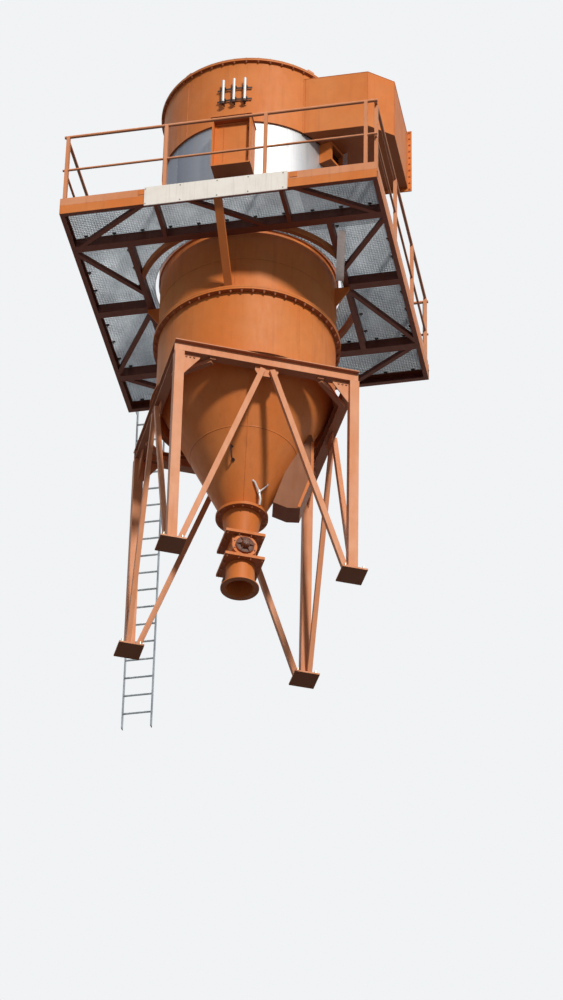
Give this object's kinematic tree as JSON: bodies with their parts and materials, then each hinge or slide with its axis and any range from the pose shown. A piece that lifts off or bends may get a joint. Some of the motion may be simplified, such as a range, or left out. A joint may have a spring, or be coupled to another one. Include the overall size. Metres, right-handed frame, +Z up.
{
  "type": "cyclone separator",
  "caption": "Cyclone separator with square side inlet, cone and rotary discharge valve on a braced leg frame, with a railed service platform around the barrel.",
  "frame": {"origin": "on the barrel axis at ground level, midway between the four legs", "axes": "+Z up along the barrel axis; X and Y square to the support frame; the front of the frame faces -Y"},
  "size_m": [5.4398, 5.5397, 8.5903],
  "materials": {
    "orange_paint": "satin",
    "brown_paint": "satin",
    "bare_cladding": "satin",
    "galvanised": "matte",
    "board_white": "satin"
  },
  "bodies": {
    "root": {"leg_front_left": "orange_paint", "leg_front_right": "orange_paint", "leg_back_left": "orange_paint", "leg_back_right": "orange_paint", "ring_front": "orange_paint", "ring_back": "orange_paint", "ring_left": "orange_paint", "ring_right": "orange_paint", "chevron_front": "orange_paint", "chevron_back": "orange_paint", "chevron_left": "orange_paint", "chevron_right": "orange_paint", "lower_drum": "orange_paint", "cone": "orange_paint", "side_chute": "orange_paint", "hopper": "orange_paint", "rotary_valve": "orange_paint", "valve_drive": "brown_paint", "spout": "orange_paint", "upper_drum": "orange_paint", "cladding": "bare_cladding", "head": "orange_paint", "roof": "orange_paint", "inlet": "orange_paint", "inspection_box": "orange_paint", "side_box": "orange_paint", "tube_bank": "galvanised", "deck_front": "orange_paint", "deck_back": "orange_paint", "deck_left": "orange_paint", "deck_right": "orange_paint", "grating_front": "galvanised", "grating_back": "galvanised", "grating_left": "galvanised", "grating_right": "galvanised", "handrail_front": "orange_paint", "handrail_back": "orange_paint", "handrail_left": "orange_paint", "handrail_right": "orange_paint", "front_board": "board_white", "knee_front": "orange_paint", "knee_back": "orange_paint", "ladder": "galvanised"}
  },
  "joints": []
}
